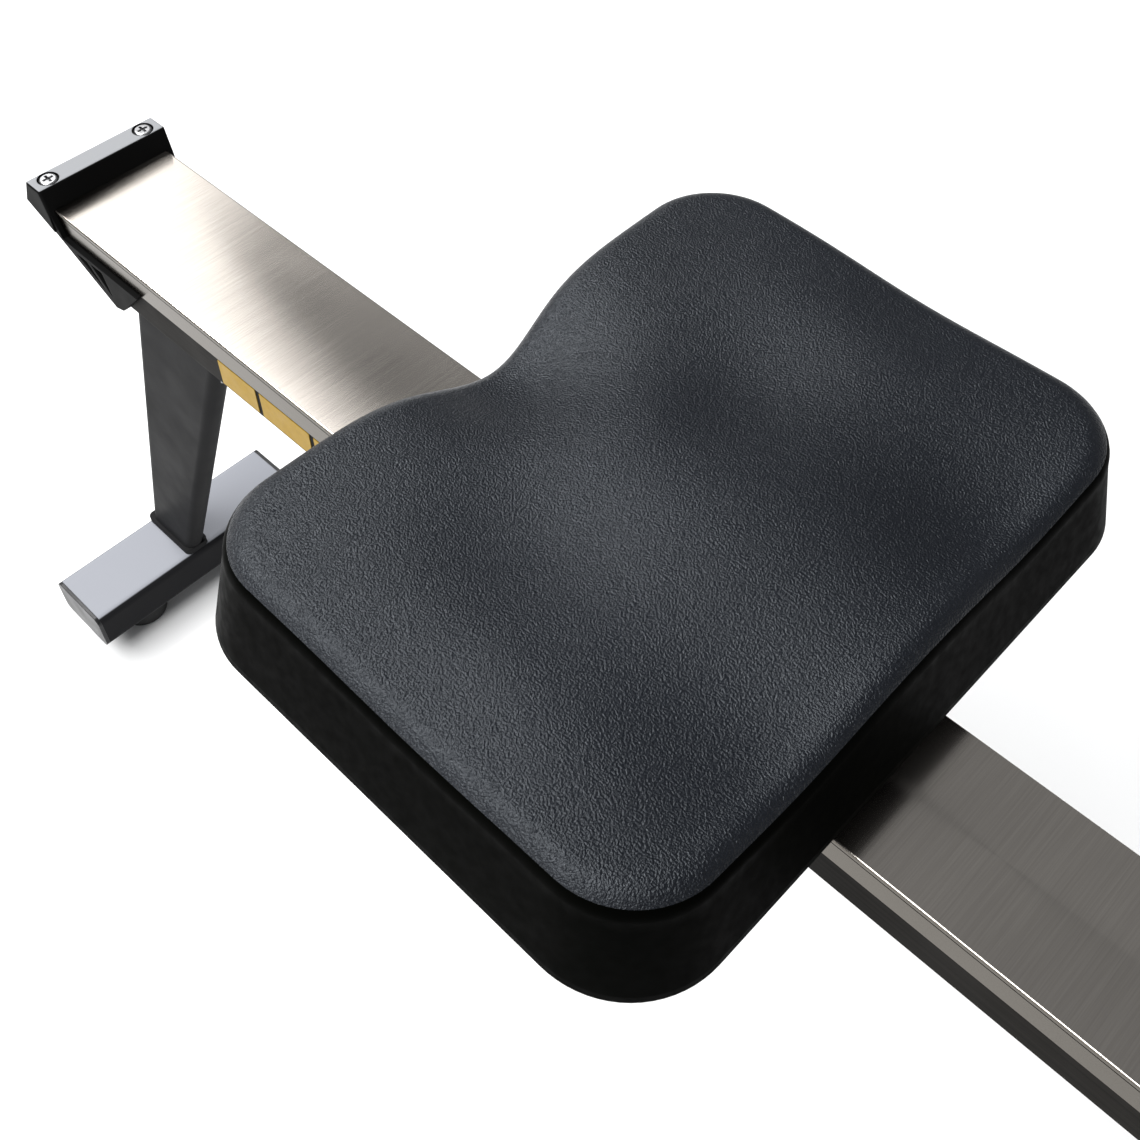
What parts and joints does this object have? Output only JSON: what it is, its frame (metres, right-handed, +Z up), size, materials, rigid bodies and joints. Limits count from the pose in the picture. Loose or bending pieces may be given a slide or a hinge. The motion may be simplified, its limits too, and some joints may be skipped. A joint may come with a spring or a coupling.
{
  "type": "rowing machine",
  "caption": "Air rowing machine: moulded seat rolling on a steel-topped rail, strap-driven fan in a cage, footrests, handle and tilting monitor.",
  "frame": {"origin": "on the floor under the middle of the machine", "axes": "+Z up, +X from the seat towards the fan, +Y to the rower's left"},
  "size_m": [2.3001, 0.6, 1.065],
  "materials": {
    "dark_extrusion": "dark anodised satin",
    "stainless": "brushed along its length",
    "black_plastic": "moulded satin black",
    "bright_steel": "bright zinc",
    "yellow_label": "printed vinyl",
    "grey_paint": "satin powder coat",
    "black_rubber": "matte",
    "roller_plastic": "acetal",
    "zinc_steel": "satin zinc",
    "webbing": "woven nylon",
    "seat_foam": "pebble-grained moulded foam",
    "fan_plastic": "grey nylon",
    "wheel_tyre": "moulded rubber",
    "monitor_plastic": "fine texture",
    "screen_glass": "grey-green display",
    "button_rubber": "soft grey"
  },
  "bodies": {
    "frame": {"rail_beam": "dark_extrusion", "rail_track": "stainless", "rail_end_cap": "black_plastic", "end_cap_screws": "bright_steel", "caution_labels": "yellow_label", "track_stops": "black_rubber", "rail_coupling": "grey_paint", "frame_bolts": "bright_steel", "rear_leg": "grey_paint", "rear_crossbar": "grey_paint", "front_leg": "grey_paint", "front_crossbar": "grey_paint", "crossbar_caps": "black_plastic", "rubber_feet": "black_rubber", "wheel_forks": "grey_paint", "main_beam": "grey_paint", "beam_front_plug": "black_plastic", "beam_fittings": "bright_steel", "return_cord": "black_rubber", "strap_loop": "webbing", "handle_hook": "grey_paint", "fan_brackets": "grey_paint", "axle_bearings": "bright_steel", "strap_guide": "bright_steel", "cage_inner_side": "black_plastic", "cage_outer_side": "black_plastic", "cage_rim": "black_plastic", "foot_plate_left": "black_plastic", "foot_plate_right": "black_plastic", "foot_strap_left": "webbing", "foot_strap_right": "webbing", "foot_buckles": "black_plastic"},
    "seat": {"seat_pad": "seat_foam", "carriage_frame": "zinc_steel", "carriage_axles": "bright_steel"},
    "rear_top_rollers": {"rear_top_rollers": "roller_plastic"},
    "front_top_rollers": {"front_top_rollers": "roller_plastic"},
    "rear_low_rollers": {"rear_low_rollers": "roller_plastic"},
    "front_low_rollers": {"front_low_rollers": "roller_plastic"},
    "handle": {"handle_bar": "zinc_steel", "handle_grips": "black_rubber", "handle_yoke": "zinc_steel", "strap_top_run": "webbing"},
    "take_up": {"take_up_block": "bright_steel"},
    "take_up_wheel": {"take_up_wheel": "black_plastic"},
    "idler": {"idler_wheel": "black_plastic"},
    "drum": {"strap_pulley": "black_plastic"},
    "fan": {"fan_axle": "bright_steel", "fan_wheel": "fan_plastic"},
    "damper": {"damper_ring": "black_plastic"},
    "heel_cup_left": {"heel_cup_left": "black_plastic"},
    "heel_cup_right": {"heel_cup_right": "black_plastic"},
    "monitor_arm": {"monitor_arm": "grey_paint"},
    "monitor": {"monitor_case": "monitor_plastic", "monitor_screen": "screen_glass"},
    "button_menu": {"button_menu": "button_rubber"},
    "button_units": {"button_units": "button_rubber"},
    "button_light": {"button_light": "button_rubber"},
    "wheel_left": {"transport_wheel_left": "wheel_tyre"},
    "wheel_right": {"transport_wheel_right": "wheel_tyre"}
  },
  "joints": [
    {"name": "seat_slide", "type": "slide", "parent": "frame", "child": "seat", "axis": [1, 0, 0], "range_m": [-0.265, 0.6]},
    {"name": "rear_top_roll", "type": "hinge", "parent": "seat", "child": "rear_top_rollers", "pos_m": [-0.6921, 0, 0.4688], "axis": [0, 1, 0], "range_deg": [-1125.19, 2546.98]},
    {"name": "front_top_roll", "type": "hinge", "parent": "seat", "child": "front_top_rollers", "pos_m": [-0.5521, 0, 0.4688], "axis": [0, 1, 0], "range_deg": [-1125.19, 2546.98]},
    {"name": "rear_low_roll", "type": "hinge", "parent": "seat", "child": "rear_low_rollers", "pos_m": [-0.6821, 0, 0.4082], "axis": [0, 1, 0], "range_deg": [-3125.72, 1380.81]},
    {"name": "front_low_roll", "type": "hinge", "parent": "seat", "child": "front_low_rollers", "pos_m": [-0.5621, 0, 0.4082], "axis": [0, 1, 0], "range_deg": [-3125.72, 1380.81]},
    {"name": "handle_pull", "type": "slide", "parent": "frame", "child": "handle", "axis": [-1, 0, 0], "range_m": [0, 1.05], "stiffness_N_per_m": 25, "springref_m": -0.6, "deforming": ["strap_top_run"]},
    {"name": "take_up_slide", "type": "slide", "parent": "frame", "child": "take_up", "axis": [1, 0, 0], "range_m": [0, 0.525], "deforming": ["strap_loop", "return_cord"]},
    {"name": "take_up_wheel_turn", "type": "hinge", "parent": "take_up", "child": "take_up_wheel", "pos_m": [0.262, 0, 0.395], "axis": [0, 1, 0], "range_deg": [-1074.8, 0]},
    {"name": "idler_turn", "type": "hinge", "parent": "frame", "child": "idler", "pos_m": [0.909, 0, 0.395], "axis": [0, 1, 0], "range_deg": [-2149.09, 0]},
    {"name": "drum_turn", "type": "hinge", "parent": "frame", "child": "drum", "pos_m": [0.905, 0, 0.7], "axis": [0, 1, 0], "range_deg": [-1880.52, 0]},
    {"name": "fan_spin", "type": "hinge", "parent": "frame", "child": "fan", "pos_m": [0.905, 0, 0.7], "axis": [0, 1, 0], "continuous": true},
    {"name": "damper_turn", "type": "hinge", "parent": "frame", "child": "damper", "pos_m": [0.905, 0, 0.7], "axis": [0, 1, 0], "range_deg": [0, 18]},
    {"name": "heel_slide_left", "type": "slide", "parent": "frame", "child": "heel_cup_left", "axis": [0.7071, 0, 0.7071], "range_m": [-0.02, 0.045]},
    {"name": "heel_slide_right", "type": "slide", "parent": "frame", "child": "heel_cup_right", "axis": [0.7071, 0, 0.7071], "range_m": [-0.02, 0.045]},
    {"name": "arm_pivot", "type": "hinge", "parent": "frame", "child": "monitor_arm", "pos_m": [0.545, 0, 0.815], "axis": [0, 1, 0], "range_deg": [-18, 12]},
    {"name": "monitor_tilt", "type": "hinge", "parent": "monitor_arm", "child": "monitor", "pos_m": [0.5, 0, 1], "axis": [0, 1, 0], "range_deg": [-14, 25]},
    {"name": "menu_press", "type": "slide", "parent": "monitor", "child": "button_menu", "axis": [1, 0, 0], "range_m": [0, 0.0015], "stiffness_N_per_m": 400, "springref_m": -0.001},
    {"name": "units_press", "type": "slide", "parent": "monitor", "child": "button_units", "axis": [1, 0, 0], "range_m": [0, 0.0015], "stiffness_N_per_m": 400, "springref_m": -0.001},
    {"name": "light_press", "type": "slide", "parent": "monitor", "child": "button_light", "axis": [1, 0, 0], "range_m": [0, 0.0015], "stiffness_N_per_m": 400, "springref_m": -0.001},
    {"name": "wheel_left_spin", "type": "hinge", "parent": "frame", "child": "wheel_left", "pos_m": [0.954, 0.205, 0.043], "axis": [0, 1, 0], "continuous": true},
    {"name": "wheel_right_spin", "type": "hinge", "parent": "frame", "child": "wheel_right", "pos_m": [0.954, -0.205, 0.043], "axis": [0, 1, 0], "continuous": true}
  ],
  "couplings": [
    {"joint": "rear_top_roll", "follows": "seat_slide", "rad_per_m": 74.074},
    {"joint": "front_top_roll", "follows": "seat_slide", "rad_per_m": 74.074},
    {"joint": "rear_low_roll", "follows": "seat_slide", "rad_per_m": -90.909},
    {"joint": "front_low_roll", "follows": "seat_slide", "rad_per_m": -90.909},
    {"joint": "take_up_slide", "follows": "handle_pull", "ratio": 0.5},
    {"joint": "take_up_wheel_turn", "follows": "handle_pull", "rad_per_m": -17.857},
    {"joint": "idler_turn", "follows": "handle_pull", "rad_per_m": -35.714},
    {"joint": "drum_turn", "follows": "handle_pull", "rad_per_m": -31.25}
  ]
}
